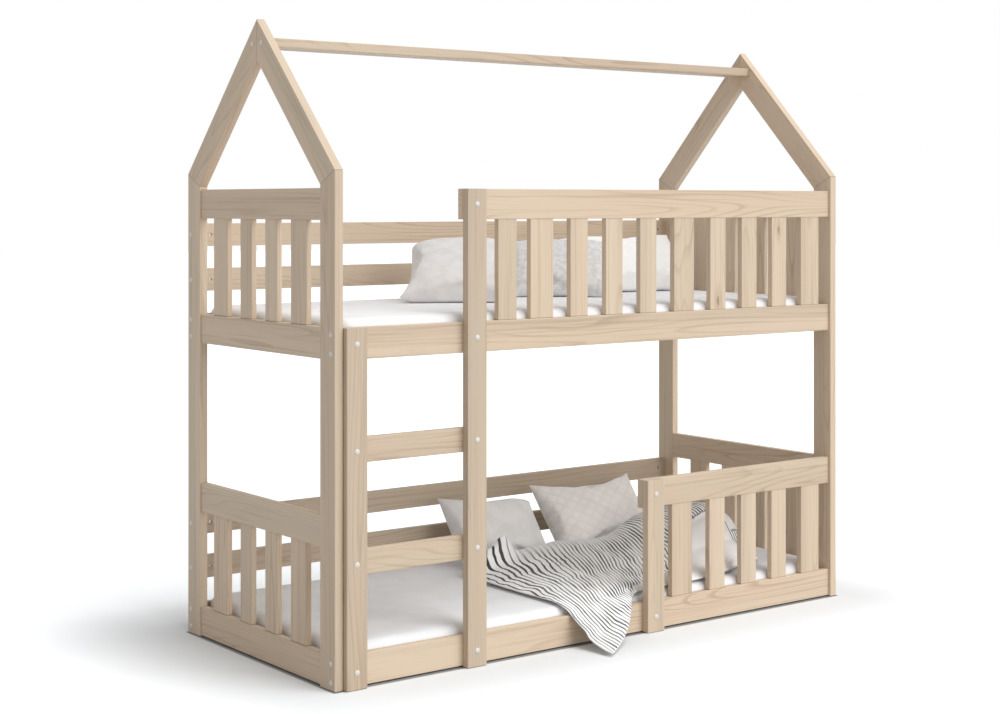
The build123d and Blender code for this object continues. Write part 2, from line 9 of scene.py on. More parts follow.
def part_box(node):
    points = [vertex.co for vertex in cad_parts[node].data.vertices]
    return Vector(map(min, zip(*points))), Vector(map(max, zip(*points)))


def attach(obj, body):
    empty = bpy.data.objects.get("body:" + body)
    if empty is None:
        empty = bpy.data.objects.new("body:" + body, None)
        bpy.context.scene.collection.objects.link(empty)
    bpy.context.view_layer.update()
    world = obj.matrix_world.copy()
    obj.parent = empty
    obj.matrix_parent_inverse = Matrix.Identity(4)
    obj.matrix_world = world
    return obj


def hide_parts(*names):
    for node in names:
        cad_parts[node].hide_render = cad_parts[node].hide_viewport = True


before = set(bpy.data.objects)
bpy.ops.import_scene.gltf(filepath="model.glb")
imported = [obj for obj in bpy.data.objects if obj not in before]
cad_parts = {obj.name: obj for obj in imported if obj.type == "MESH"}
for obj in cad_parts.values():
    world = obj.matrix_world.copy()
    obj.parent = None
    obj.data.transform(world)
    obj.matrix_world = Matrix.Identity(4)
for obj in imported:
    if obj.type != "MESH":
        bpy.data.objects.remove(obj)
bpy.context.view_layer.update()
scene = bpy.context.scene

# Camera: level, at the photograph's viewing angle, with its horizon moved up by a shift
CAMERA_LENS = 63.697  # millimetres
SENSOR_WIDTH = 36  # millimetres
HORIZON_SHIFT = -0.15261
CAMERA_PLACE = (-3.5241, -4.4422, 1.3218)
CAMERA_TURN = 37.0584  # degrees from the bed's depth towards its right end

camera_data = bpy.data.cameras.new("camera")
camera_data.lens = CAMERA_LENS
camera_data.sensor_width = SENSOR_WIDTH
camera_data.shift_y = HORIZON_SHIFT
camera = bpy.data.objects.new("camera", camera_data)
scene.collection.objects.link(camera)
camera.location = CAMERA_PLACE
camera.rotation_euler = (math.radians(90), 0, -math.radians(CAMERA_TURN))
scene.camera = camera
scene.view_settings.view_transform = "Standard"


# Node helpers

def add_node(tree, kind, inputs=None, **settings):
    """A shader node with its settings, and each input linked or set."""
    node = tree.nodes.new(kind)
    for name, value in settings.items():
        setattr(node, name, value)
    for socket, value in (inputs or {}).items():
        if isinstance(value, bpy.types.NodeSocket):
            tree.links.new(value, node.inputs[socket])
        else:
            node.inputs[socket].default_value = value
    return node


def reckon(tree, operation, first, second=None):
    """The result of a sum on one or two numbers."""
    inputs = {0: first} if second is None else {0: first, 1: second}
    return add_node(tree, "ShaderNodeMath", inputs, operation=operation).outputs[0]


def reckon_vector(tree, operation, first, second):
    """The result of a sum on two vectors."""
    return add_node(tree, "ShaderNodeVectorMath", {0: first, 1: second}, operation=operation).outputs[0]


def split(tree, vector):
    """The x, y and z of a vector."""
    return add_node(tree, "ShaderNodeSeparateXYZ", {0: vector}).outputs


def speckle(tree, vector, scale, detail=2.0, roughness=0.5):
    """Noise of a vector that is stretched by a scale, from 0 to 1."""
    sockets = {"Vector": reckon_vector(tree, "MULTIPLY", vector, scale), "Scale": 1.0, "Detail": detail,
               "Roughness": roughness}
    return add_node(tree, "ShaderNodeTexNoise", sockets).outputs["Fac"]


def between(tree, value, low, high, new_low=0.0, new_high=1.0):
    """A value between low and high, spread over a new range with soft ends."""
    sockets = {"Value": value, "From Min": low, "From Max": high, "To Min": new_low, "To Max": new_high}
    return add_node(tree, "ShaderNodeMapRange", sockets, interpolation_type="SMOOTHSTEP").outputs[0]


def blended(tree, share, first, second, kind="MIX"):
    """Two colours, each a socket or three numbers, blended by a share of the second."""
    first, second = (colour if isinstance(colour, bpy.types.NodeSocket) else (*colour, 1.0)
                     for colour in (first, second))
    return add_node(tree, "ShaderNodeMix", {0: share, 6: first, 7: second},
                    data_type="RGBA", blend_type=kind).outputs[2]


def shaded(tree, colour, shade):
    """A colour made darker or lighter by a factor."""
    grey = add_node(tree, "ShaderNodeCombineColor", {0: shade, 1: shade, 2: shade}).outputs[0]
    return blended(tree, 1.0, colour, grey, "MULTIPLY")


def new_group(name, inputs, outputs):
    """A shader node group with named sockets. Returns its tree and its input and output nodes."""
    tree = bpy.data.node_groups.new(name, "ShaderNodeTree")
    for label, kind, start in inputs:
        socket = tree.interface.new_socket(label, in_out="INPUT", socket_type=kind)
        if start is not None:
            socket.default_value = start
    for label, kind in outputs:
        tree.interface.new_socket(label, in_out="OUTPUT", socket_type=kind)
    return tree, tree.nodes.new("NodeGroupInput"), tree.nodes.new("NodeGroupOutput")


def placed_group(tree, group, inputs):
    """A node group used in another tree. Returns its outputs."""
    return add_node(tree, "ShaderNodeGroup", inputs, node_tree=group).outputs


def new_material(name, roughness=0.5, sheen=0.0, metallic=0.0):
    """A material with a plain Principled shader, whose constant values sit on its own sockets."""
    material = bpy.data.materials.new(name)
    material.use_nodes = True
    shader = material.node_tree.nodes["Principled BSDF"]
    shader.inputs["Roughness"].default_value = roughness
    shader.inputs["Sheen Weight"].default_value = sheen
    shader.inputs["Metallic"].default_value = metallic
    return material, material.node_tree, shader


def object_place(tree):
    """A point's place on the piece, in metres."""
    return add_node(tree, "ShaderNodeTexCoord").outputs["Object"]


def raise_surface(tree, shader, height, distance, strength):
    """Lets a height show as fine relief, up to a distance in metres."""
    sockets = {"Height": height, "Distance": distance, "Strength": strength}
    bump = add_node(tree, "ShaderNodeBump", sockets)
    tree.links.new(bump.outputs[0], shader.inputs["Normal"])


def from_middle(tree, vector):
    """How far a point lies in front of or behind the bed's middle."""
    return reckon(tree, "ABSOLUTE", reckon(tree, "SUBTRACT", split(tree, vector)[1], BED_MIDDLE))


def seen_directly(tree):
    """1 on a ray from the camera, also by way of a mirror or glass, and 0 on one that only carries light."""
    path = add_node(tree, "ShaderNodeLightPath").outputs
    mirrored = reckon(tree, "MAXIMUM", path["Is Glossy Ray"], path["Is Transmission Ray"])
    return reckon(tree, "MAXIMUM", path["Is Camera Ray"], mirrored)


FLOAT, COLOUR, VECTOR = "NodeSocketFloat", "NodeSocketColor", "NodeSocketVector"

# Sizes that the looks share with the frame, in metres
FRONT_POST, BACK_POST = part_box("post_front_left"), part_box("post_back_left")
BED_MIDDLE = (FRONT_POST[0].y + BACK_POST[1].y) / 2
HALF_DEPTH = (BACK_POST[1].y - FRONT_POST[0].y) / 2
HALF_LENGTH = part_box("post_front_right")[1].x
EAVES = FRONT_POST[1].z
POST_WIDTH = FRONT_POST[1].y - FRONT_POST[0].y
ROOF_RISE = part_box("rafter_front_left")[1].z - EAVES
ROOF_ANGLE = math.atan2(ROOF_RISE, HALF_DEPTH)
RAFTER_WIDTH = 0.083  # as in the source
MITRE_DROP = RAFTER_WIDTH / math.cos(ROOF_ANGLE) - math.tan(ROOF_ANGLE) * POST_WIDTH
RAIL_TOPS = (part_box("front_rail_lower")[1].z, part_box("front_rail_upper")[1].z)
LOWER_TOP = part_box("lower_mattress")[1].z
UPPER_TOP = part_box("upper_mattress")[1].z
BACK_RAIL_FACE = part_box("back_rail_lower")[0].y

# Half the width of the dark line that shows where two boards meet
SEAM_HALF = 0.0009

# Pine: the first number of each scale runs along the grain, and the others across it
RING_CONTOUR = (0.55, 8.5, 8.5)
RING_COUNT = 22.0
RING_PATCHES = (1.1, 9.0, 9.0)
STREAKS = (1.5, 140.0, 140.0)
FIBRES = (9.0, 520.0, 520.0)
BROAD_TONE = (0.18, 11.0, 11.0)
ROSY_PATCHES = (0.5, 5.0, 5.0)
EARLYWOOD = (0.70, 0.568, 0.425)
LATEWOOD = (0.42, 0.295, 0.19)
ROSY_WOOD = (0.675, 0.525, 0.385)
HEARTWOOD = (0.33, 0.215, 0.13)


def pine_grain_group():
    """Pine's growth rings, streaks and fibres, on a vector whose x runs along the grain."""
    tree, inside, outside = new_group(
        "pine_grain",
        [("Vector", VECTOR, None), ("Lightness", FLOAT, 1.0), ("Figure", FLOAT, 1.0)],
        [("Color", COLOUR), ("Roughness", FLOAT), ("Height", FLOAT)],
    )
    vector = inside.outputs["Vector"]
    contour = speckle(tree, vector, RING_CONTOUR, detail=1.0, roughness=0.4)
    rings = reckon(tree, "FRACT", reckon(tree, "MULTIPLY", contour, RING_COUNT))
    rising = between(tree, rings, 0.62, 0.95)
    falling = between(tree, rings, 0.95, 1.0, 1.0, 0.0)
    line = reckon(tree, "MULTIPLY", rising, falling)
    patches = between(tree, speckle(tree, vector, RING_PATCHES, detail=1.5), 0.40, 0.66)
    figure = reckon(tree, "MULTIPLY", reckon(tree, "MULTIPLY", line, patches), inside.outputs["Figure"])
    streaks = between(tree, speckle(tree, vector, STREAKS, detail=2.5), 0.5, 0.76)
    fibres = speckle(tree, vector, FIBRES)
    tone = speckle(tree, vector, BROAD_TONE, detail=0.0)
    rosy = between(tree, speckle(tree, vector, ROSY_PATCHES, detail=1.0), 0.35, 0.7)
    colour = blended(tree, reckon(tree, "MULTIPLY", rosy, 0.8), EARLYWOOD, ROSY_WOOD)
    colour = blended(tree, reckon(tree, "MULTIPLY", figure, 0.56), colour, LATEWOOD)
    colour = blended(tree, reckon(tree, "MULTIPLY", streaks, 0.4), colour, LATEWOOD)
    colour = blended(tree, reckon(tree, "MULTIPLY", between(tree, fibres, 0.3, 0.75), 0.1), colour, LATEWOOD)
    shade = reckon(tree, "MULTIPLY", between(tree, tone, 0.3, 0.7, 0.93, 1.05), inside.outputs["Lightness"])
    tree.links.new(shaded(tree, colour, shade), outside.inputs["Color"])
    tree.links.new(between(tree, streaks, 0.0, 1.0, 0.5, 0.62), outside.inputs["Roughness"])
    height = reckon(tree, "SUBTRACT", fibres, reckon(tree, "MULTIPLY", figure, 0.8))
    tree.links.new(height, outside.inputs["Height"])
    return tree


def knot_group():
    """A small knot in an upright board, at a place and with a reach: how far a point lies in it."""
    tree, inside, outside = new_group(
        "knot", [("Vector", VECTOR, None), ("Place", VECTOR, None), ("Reach", FLOAT, 0.01)],
        [("Core", FLOAT), ("Halo", FLOAT)],
    )
    away = reckon_vector(tree, "SUBTRACT", inside.outputs["Vector"], inside.outputs["Place"])
    drawn_out = reckon_vector(tree, "MULTIPLY", away, (1.0, 1.0, 0.35))
    far = add_node(tree, "ShaderNodeVectorMath", {0: drawn_out}, operation="LENGTH").outputs["Value"]
    share = reckon(tree, "DIVIDE", far, inside.outputs["Reach"])
    ragged = reckon(tree, "MULTIPLY", speckle(tree, away, (160.0, 160.0, 160.0)), 0.5)
    uneven = reckon(tree, "ADD", share, ragged)
    tree.links.new(between(tree, uneven, 0.5, 1.0, 1.0, 0.0), outside.inputs["Core"])
    tree.links.new(between(tree, uneven, 0.8, 2.6, 1.0, 0.0), outside.inputs["Halo"])
    return tree


def mitre_group():
    """Thin dark lines where the gables' boards are mitred: the corner mitres and the seam at the top."""
    tree, inside, outside = new_group("mitre", [("Vector", VECTOR, None)], [("Line", FLOAT)])
    out = from_middle(tree, inside.outputs["Vector"])
    seam = reckon(tree, "LESS_THAN", out, SEAM_HALF)
    above = reckon(tree, "SUBTRACT", split(tree, inside.outputs["Vector"])[2], EAVES)
    inward = reckon(tree, "SUBTRACT", HALF_DEPTH, out)
    run = math.hypot(POST_WIDTH, MITRE_DROP)
    side = reckon(tree, "ADD", reckon(tree, "MULTIPLY", above, POST_WIDTH / run),
                  reckon(tree, "MULTIPLY", inward, MITRE_DROP / run))
    mitre = reckon(tree, "LESS_THAN", reckon(tree, "ABSOLUTE", side), SEAM_HALF)
    tree.links.new(reckon(tree, "MAXIMUM", seam, mitre), outside.inputs["Line"])
    return tree


def butt_group():
    """Thin dark lines where the end rails meet the posts."""
    tree, inside, outside = new_group("butt", [("Vector", VECTOR, None)], [("Line", FLOAT)])
    out = from_middle(tree, inside.outputs["Vector"])
    line = reckon(tree, "GREATER_THAN", out, HALF_DEPTH - POST_WIDTH - SEAM_HALF)
    tree.links.new(line, outside.inputs["Line"])
    return tree


def foot_shadow_group():
    """A painted shadow where a slat stands on its rail: the slat's lowest few millimetres are darkened."""
    tree, inside, outside = new_group("slat_foot_shadow", [("Vector", VECTOR, None)], [("Line", FLOAT)])
    height = split(tree, inside.outputs["Vector"])[2]
    foot_shadows = [between(tree, reckon(tree, "SUBTRACT", height, top), 0.0012, 0.0032, 1.0, 0.0)
            for top in RAIL_TOPS]
    above = reckon(tree, "GREATER_THAN", height, RAIL_TOPS[1] - 0.02)
    line = add_node(tree, "ShaderNodeMix", {0: above, 2: foot_shadows[0], 3: foot_shadows[1]}).outputs[0]
    tree.links.new(line, outside.inputs["Line"])
    return tree


def weave_group():
    """Plain woven cloth on a map in metres: threads over and under, with uneven yarn."""
    tree, inside, outside = new_group(
        "weave", [("Vector", VECTOR, None), ("Threads", FLOAT, 900.0), ("Uneven", FLOAT, 0.3)],
        [("Height", FLOAT), ("Shade", FLOAT)],
    )
    waves = []
    for part in split(tree, inside.outputs["Vector"])[:2]:
        turns = reckon(tree, "MULTIPLY", part, inside.outputs["Threads"])
        waves.append(reckon(tree, "SINE", reckon(tree, "MULTIPLY", turns, math.pi)))
    crossing = reckon(tree, "MULTIPLY", waves[0], waves[1])
    yarn = speckle(tree, inside.outputs["Vector"], (260.0, 260.0, 260.0), detail=3.0)
    height = reckon(tree, "ADD", reckon(tree, "MULTIPLY", crossing, 0.5),
                    reckon(tree, "MULTIPLY", yarn, inside.outputs["Uneven"]))
    tree.links.new(height, outside.inputs["Height"])
    tree.links.new(between(tree, yarn, 0.25, 0.75, 0.95, 1.03), outside.inputs["Shade"])
    return tree


pine_grain = pine_grain_group()
knot = knot_group()
# The mitre and butt lines are dark joints; the foot line is a painted shadow
joint_lines_and_shadow = {"mitre": mitre_group(), "butt": butt_group(), "foot_shadow": foot_shadow_group()}
weave = weave_group()

# How a point's place is turned so that its x runs along the board
QUARTER = math.pi / 2
GRAIN_TURNS = {
    "along": (0, 0, 0),
    "upright": (0, QUARTER, 0),
    "across": (0, 0, -QUARTER),
    "front_slope": (-ROOF_ANGLE, 0, -QUARTER),
    "back_slope": (ROOF_ANGLE, 0, -QUARTER),
}


def pine(name, run, lightness=1.0, figure=1.0, shift=(0.0, 0.0, 0.0), knots=(), joints=None):
    """Planed pine whose grain runs one way, with knots at places and, if asked, dark lines at its joints or a
    painted shadow at the slats' feet.
    """
    material, tree, shader = new_material(name)
    place = object_place(tree)
    mapping = {"Vector": place, "Rotation": GRAIN_TURNS[run], "Location": shift}
    turned = add_node(tree, "ShaderNodeMapping", mapping).outputs[0]
    swirl = speckle(tree, turned, (2.0, 14.0, 14.0), detail=1.0)
    bend = add_node(tree, "ShaderNodeCombineXYZ", {1: reckon(tree, "MULTIPLY", swirl, 0.012)}).outputs[0]
    turned = reckon_vector(tree, "ADD", turned, bend)
    grain = placed_group(tree, pine_grain, {"Vector": turned, "Lightness": lightness, "Figure": figure})
    colour = grain["Color"]
    if joints:
        line = placed_group(tree, joint_lines_and_shadow[joints], {"Vector": place})["Line"]
        # Dark lines at mitres and butt joints, or the painted shadow at a slat's foot
        colour = blended(tree, reckon(tree, "MULTIPLY", line, 0.85), colour, HEARTWOOD)
    for spot, reach in knots:
        marks = placed_group(tree, knot, {"Vector": place, "Place": spot, "Reach": reach})
        colour = blended(tree, reckon(tree, "MULTIPLY", marks["Halo"], 0.35), colour, LATEWOOD)
        colour = blended(tree, reckon(tree, "MULTIPLY", marks["Core"], 0.8), colour, HEARTWOOD)
    tree.links.new(colour, shader.inputs["Base Color"])
    tree.links.new(grain["Roughness"], shader.inputs["Roughness"])
    raise_surface(tree, shader, grain["Height"], 0.0002, 0.35)
    return material


def beech():
    """Beech of the dowels."""
    material, tree, shader = new_material("beech_dowel", 0.6)
    place = object_place(tree)
    flecks = speckle(tree, place, (180.0, 900.0, 900.0), detail=2.0)
    colour = blended(tree, between(tree, flecks, 0.35, 0.7), (0.52, 0.34, 0.19), (0.40, 0.24, 0.13))
    tree.links.new(colour, shader.inputs["Base Color"])
    raise_surface(tree, shader, flecks, 0.0001, 0.4)
    return material


def zinc():
    """Zinc plate of the bolts, nuts and screws."""
    material, tree, shader = new_material("zinc_plate", 0.32, metallic=1.0)
    place = object_place(tree)
    bloom = speckle(tree, place, (240.0, 240.0, 240.0), detail=3.0)
    tree.links.new(blended(tree, bloom, (0.62, 0.63, 0.65), (0.50, 0.51, 0.52)), shader.inputs["Base Color"])
    tree.links.new(between(tree, bloom, 0.3, 0.7, 0.26, 0.42), shader.inputs["Roughness"])
    return material


def moulded_cap():
    """White plastic of the bolt caps."""
    material, tree, shader = new_material("white_cap", 0.38)
    place = object_place(tree)
    cloud = speckle(tree, place, (90.0, 90.0, 90.0), detail=2.0)
    tree.links.new(blended(tree, cloud, (0.76, 0.75, 0.73), (0.68, 0.67, 0.65)), shader.inputs["Base Color"])
    tree.links.new(between(tree, cloud, 0.3, 0.7, 0.32, 0.46), shader.inputs["Roughness"])
    raise_surface(tree, shader, cloud, 0.0001, 0.2)
    return material


def cloth_map(tree):
    """A point's place on the flat cloth, in metres."""
    return add_node(tree, "ShaderNodeUVMap", uv_map="cloth").outputs[0]


def cotton(name, light, dark, threads=900.0, mottle=12.0, relief=None):
    """Woven cotton with a soft uneven tone, on the piece's own cloth map, with a relief if given, whose
    hollows are darkened as painted shade.
    """
    material, tree, shader = new_material(name, 0.85, sheen=0.15)
    cloth = cloth_map(tree)
    woven = placed_group(tree, weave, {"Vector": cloth, "Threads": threads, "Uneven": 0.35})
    patch = between(tree, speckle(tree, cloth, (mottle, mottle, mottle), detail=3.0), 0.35, 0.68)
    colour = blended(tree, patch, light, dark)
    shade = woven["Shade"]
    height, distance = woven["Height"], 0.0004
    if relief:
        raised = relief(tree, cloth)
        # Painted shade: the relief's hollows, such as the quilting's stitched rows, are darkened a little
        shade = reckon(tree, "MULTIPLY", shade, between(tree, raised, 0.0, 0.6, 0.95, 1.0))
        height = reckon(tree, "ADD", reckon(tree, "MULTIPLY", height, 0.1), raised)
        distance = 0.004
    colour = shaded(tree, colour, shade)
    tree.links.new(colour, shader.inputs["Base Color"])
    raise_surface(tree, shader, height, distance, 0.35)
    return material, tree, shader, colour


QUILT_CELL = 0.027


def quilting(tree, cloth):
    """Shallow diamonds between crossing rows of stitches, bent a little, as on a soft pillow."""
    across, up = split(tree, cloth)[:2]
    sway = reckon(tree, "MULTIPLY", speckle(tree, cloth, (8.0, 8.0, 8.0), detail=1.0), 0.03)
    rise = reckon(tree, "ADD", reckon(tree, "MULTIPLY", up, 1.3), sway)
    rows = [reckon(tree, "PINGPONG", reckon(tree, kind, across, rise), QUILT_CELL)
            for kind in ("ADD", "SUBTRACT")]
    return between(tree, reckon(tree, "MINIMUM", *rows), 0.0, 0.018)


def squiggles(tree, cloth):
    """Raised winding lines, as of a stitched texture."""
    winding = {"Vector": cloth, "Scale": 55.0, "Detail": 1.0}
    sway = add_node(tree, "ShaderNodeTexNoise", winding).outputs["Color"]
    bent = reckon_vector(tree, "ADD", cloth, reckon_vector(tree, "MULTIPLY", sway, (0.02, 0.02, 0.02)))
    cells = add_node(tree, "ShaderNodeTexVoronoi", {"Vector": bent, "Scale": 75.0},
                     feature="DISTANCE_TO_EDGE").outputs["Distance"]
    return between(tree, cells, 0.02, 0.16, 0.6, 0.0)


# Two small knots in the upper guard's slats: place and reach
GUARD_KNOTS = (((0.7287, -0.3365, 1.237), 0.009), ((0.452, -0.3365, 1.012), 0.011))

# Which boards have which pine, by how their names start. Where two lines fit a board, the later one counts.
board_finishes = (
    (pine("pine_along", "along"), ("front_rail", "upper_guard_top_rail", "lower_guard_top_rail")),
    # Painted shade: a darker copy of the same pine for boards that lie in the frame's shade, the ridge, the
    # back rails and guard, and the rungs
    (pine("pine_shaded_set_back", "along", lightness=0.89, shift=(3.1, 0.4, 0.7)),
     ("ridge_board", "back_rail", "back_guard", "ladder_rung")),
    # Painted shade: a still darker copy for the lower back rail and guard, deep under the upper bunk
    (pine("pine_shaded_low_back", "along", lightness=0.76, shift=(1.7, 0.2, 0.3)),
     ("back_rail_lower", "back_guard_lower")),
    (pine("pine_upright", "upright", lightness=0.84, figure=0.8), ("ladder_upright",)),
    (pine("pine_guard_post", "upright", lightness=0.96, figure=0.8, shift=(0.3, 0.6, 0.1)),
     ("lower_guard_post",)),
    (pine("pine_across", "across", joints="butt"), ("left_end_rail", "right_end_rail")),
    (pine("pine_post", "upright", figure=0.6, joints="mitre"), ("post_",)),
    (pine("pine_front_slope", "front_slope", joints="mitre"), ("rafter_front",)),
    (pine("pine_back_slope", "back_slope", joints="mitre"), ("rafter_back",)),
    # The slats carry a painted shadow at their feet, where they stand on the rails
    (pine("pine_slats_with_foot_shadow", "upright", figure=0.9, joints="foot_shadow", knots=GUARD_KNOTS),
     ("upper_guard_slats", "lower_guard_slats", "left_lower_end", "left_upper_end",
      "right_lower_end", "right_upper_end")),
    (pine("pine_deck", "across", lightness=1.03, figure=0.8), ("lower_deck_slats", "upper_deck_slats")),
    (pine("pine_ledger", "along", lightness=1.03, figure=0.8), ("front_ledger", "back_ledger")),
)
fittings = {"glue_dowels": beech(), "bolt_caps": moulded_cap()}
steel = zinc()
for node in ("frame_bolts", "ladder_bolts", "cross_nuts", "insert_nuts", "ledger_screws", "deck_screws"):
    fittings[node] = steel


def finish_frame():
    """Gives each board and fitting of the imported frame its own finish."""
    for node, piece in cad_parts.items():
        finish = fittings.get(node)
        for material, starts in board_finishes:
            if node.startswith(starts):
                finish = material
        if finish:
            piece.data.materials.clear()
            piece.data.materials.append(finish)


finish_frame()


# Pillows: thickness when filled, the share of it that they are sewn at, and how much their sides draw in
PILLOW_THICKNESS = 0.116
SEWN_SHARE = 0.78
PILLOW_DRAW = 0.03
PILLOW_SEAM = 0.003
PILLOW_CUTS = 40
# A pillow sinks into its mattress by this, and is pressed flat to within the small gap
PILLOW_SINK = 0.003
PRESSED_GAP = 0.0006
# The higher, the less of a pillow follows a corner that is moved
CORNER_SHARPNESS = 3.5


def new_piece(name, mesh_builder, body, materials):
    """Makes a smooth object from a bmesh, at the origin, and lets it ride on a body."""
    mesh = bpy.data.meshes.new(name)
    mesh_builder.to_mesh(mesh)
    mesh_builder.free()
    piece = bpy.data.objects.new(name, mesh)
    scene.collection.objects.link(piece)
    for material in materials:
        mesh.materials.append(material)
    mesh.polygons.foreach_set("use_smooth", [True] * len(mesh.polygons))
    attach(piece, body)
    return piece


def crown(mesh_builder, width, height, thickness):
    """Turns a thin box of cloth into a cushion: crowned faces, drawn-in sides and pointed corners."""
    for vertex in mesh_builder.verts:
        x, y, z = vertex.co
        u, v = 2 * x / width, 2 * y / height
        rise = max(0.0, (1 - abs(u) ** 2.6) * (1 - abs(v) ** 2.6)) ** 0.55
        pull_x = 1 - PILLOW_DRAW * (1 - abs(v) ** 2.2) * abs(u) ** 3
        pull_y = 1 - PILLOW_DRAW * (1 - abs(u) ** 2.2) * abs(v) ** 3
        side = 1 if z > 0 else -1
        vertex.co = (x * pull_x, y * pull_y, side * (PILLOW_SEAM / 2 + thickness / 2 * rise))


def cloth_layer(mesh_builder):
    """Writes a cloth map in metres from the flat shape."""
    layer = mesh_builder.loops.layers.uv.new("cloth")
    for face in mesh_builder.faces:
        for loop in face.loops:
            loop[layer].uv = (loop.vert.co.x, loop.vert.co.y)


def sewn_cushion(width, height, thickness):
    """Two squares of cloth, seamed together and crowned."""
    shell = bmesh.new()
    bmesh.ops.create_cube(shell, size=1.0)
    bmesh.ops.scale(shell, vec=(width, height, PILLOW_SEAM), verts=shell.verts)
    long_edges = [edge for edge in shell.edges if edge.calc_length() > 2 * PILLOW_SEAM]
    bmesh.ops.subdivide_edges(shell, edges=long_edges, cuts=PILLOW_CUTS, use_grid_fill=True)
    cloth_layer(shell)
    crown(shell, width, height, thickness)
    return shell


def simulate(piece, frames, cap, pressure=0.0, growth=0.0, gravity=0.0, stiffness=15.0, bending=0.5):
    """Runs the piece as cloth, and keeps the result, with each move eased so that none passes the cap."""
    rest = [vertex.co.copy() for vertex in piece.data.vertices]
    cloth = piece.modifiers.new("cloth", "CLOTH")
    settings = cloth.settings
    settings.quality = 6
    settings.mass = 0.3
    settings.tension_stiffness = stiffness
    settings.compression_stiffness = stiffness
    settings.shear_stiffness = stiffness / 3
    settings.bending_stiffness = bending
    settings.effector_weights.gravity = gravity
    settings.shrink_min = -growth
    if pressure:
        settings.use_pressure = True
        settings.uniform_pressure_force = pressure
    cloth.collision_settings.use_self_collision = False
    cloth.point_cache.frame_start = 1
    cloth.point_cache.frame_end = frames
    for frame_number in range(1, frames + 1):
        scene.frame_set(frame_number)
    shaped = piece.evaluated_get(bpy.context.evaluated_depsgraph_get()).to_mesh()
    moved = [vertex.co.copy() for vertex in shaped.vertices]
    piece.modifiers.remove(cloth)
    scene.frame_set(1)
    for vertex, start, end in zip(piece.data.vertices, rest, moved):
        step = end - start
        if step.length > 1e-6:
            step = step.normalized() * cap * math.tanh(step.length / cap)
        vertex.co = start + step


# The pillows' sizes and places repeat the source's, in metres and degrees
PILLOWS = {
    # name: width, height, lower edge's x and y, turn, lean
    "far_pillow": (0.478, 0.283, 0.6472, 0.215, -3, 42),
    "middle_pillow": (0.380, 0.365, 0.1640, 0.124, -38, 28),
    "reading_pillow": (0.368, 0.393, -0.2965, 0.0270, -33, 28),
    "plain_pillow": (0.352, 0.272, 0.0500, 0.2345, -4, 50),
    "quilted_pillow": (0.450, 0.285, 0.4990, 0.2315, 2, 50),
}
# How far a corner is moved in the pillow's own plane and out of it, by its side: left or right, low or high
PILLOW_CORNERS = {
    "far_pillow": {(1, 1): (0.034, 0.014, 0.0), (1, -1): (-0.034, 0.0, 0.0)},
    "reading_pillow": {(-1, 1): (0.036, 0.0, -0.020), (1, 1): (0.0, -0.010, 0.0),
                       (-1, -1): (-0.014, 0.004, 0.022), (1, -1): (-0.022, 0.0, 0.0)},
    "plain_pillow": {(-1, 1): (0.0, 0.014, 0.0), (1, 1): (0.008, -0.040, 0.0)},
    "quilted_pillow": {(-1, 1): (-0.002, 0.014, 0.0), (1, 1): (0.023, 0.012, 0.0),
                       (-1, -1): (-0.014, 0.0, 0.0), (1, -1): (-0.014, 0.0, 0.0)},
}


def pillow_place(name, top):
    """The place of a pillow that stands on a mattress' top and leans back."""
    _, height, x, y, turn, lean = PILLOWS[name]
    turned = Matrix.Rotation(math.radians(turn), 4, "Z") @ Matrix.Rotation(math.radians(lean), 4, "X")
    up_slope = turned @ Vector((0, 1, 0))
    centre = Vector((x, y, top - PILLOW_SINK)) + up_slope * height / 2
    return Matrix.Translation(centre) @ turned


def surface_tree(piece):
    """A search tree of the piece's faces."""
    shape = bmesh.new()
    shape.from_mesh(piece.data)
    tree = BVHTree.FromBMesh(shape)
    shape.free()
    return tree


def lies_inside(tree, point):
    """Tells whether a point lies inside a closed shape, by counting the faces above it."""
    upward = Vector((0.12, 0.07, 0.99)).normalized()
    crossings, start = 0, point
    while crossings < 9:
        hit = tree.ray_cast(start, upward)[0]
        if hit is None:
            break
        crossings += 1
        start = hit + upward * 1e-5
    return crossings % 2 == 1


def push_out(piece, others, gap=0.0008):
    """Moves the points of a piece that lie inside others out to their faces."""
    for tree in [surface_tree(other) for other in others]:
        for vertex in piece.data.vertices:
            if lies_inside(tree, vertex.co):
                near, normal = tree.find_nearest(vertex.co)[:2]
                vertex.co = near + normal * gap


def press_flat(piece, top, others=()):
    """Flattens a pillow where it meets the mattress, the back rails and the pillows laid before it."""
    push_out(piece, others)
    for vertex in piece.data.vertices:
        vertex.co.z = max(vertex.co.z, top + PRESSED_GAP)
        vertex.co.y = min(vertex.co.y, BACK_RAIL_FACE - PRESSED_GAP)


def move_corners(piece, width, height, corners):
    """Moves a flat pillow's corners, and what lies near them by less."""
    for vertex in piece.data.vertices:
        x, y, z = vertex.co
        u, v = (max(-1.0, min(1.0, value)) for value in (2 * x / width, 2 * y / height))
        for (side, end), shift in corners.items():
            weight = ((1 + side * u) * (1 + end * v) / 4) ** CORNER_SHARPNESS
            vertex.co += Vector(shift) * weight


def make_pillow(name, body, material, top, others=()):
    """A sewn pillow, blown up as cloth and laid against the pillows that were laid before it."""
    width, height = PILLOWS[name][:2]
    piece = new_piece(name + "_cloth", sewn_cushion(width, height, PILLOW_THICKNESS * SEWN_SHARE),
                      body, [material])
    simulate(piece, frames=20, cap=0.022, pressure=2.5, growth=0.03)
    move_corners(piece, width, height, PILLOW_CORNERS.get(name, {}))
    piece.data.transform(pillow_place(name, top))
    press_flat(piece, top, others)
    smooth = piece.modifiers.new("finer", "SUBSURF")
    smooth.levels = smooth.render_levels = 1
    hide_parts(name)
    return piece


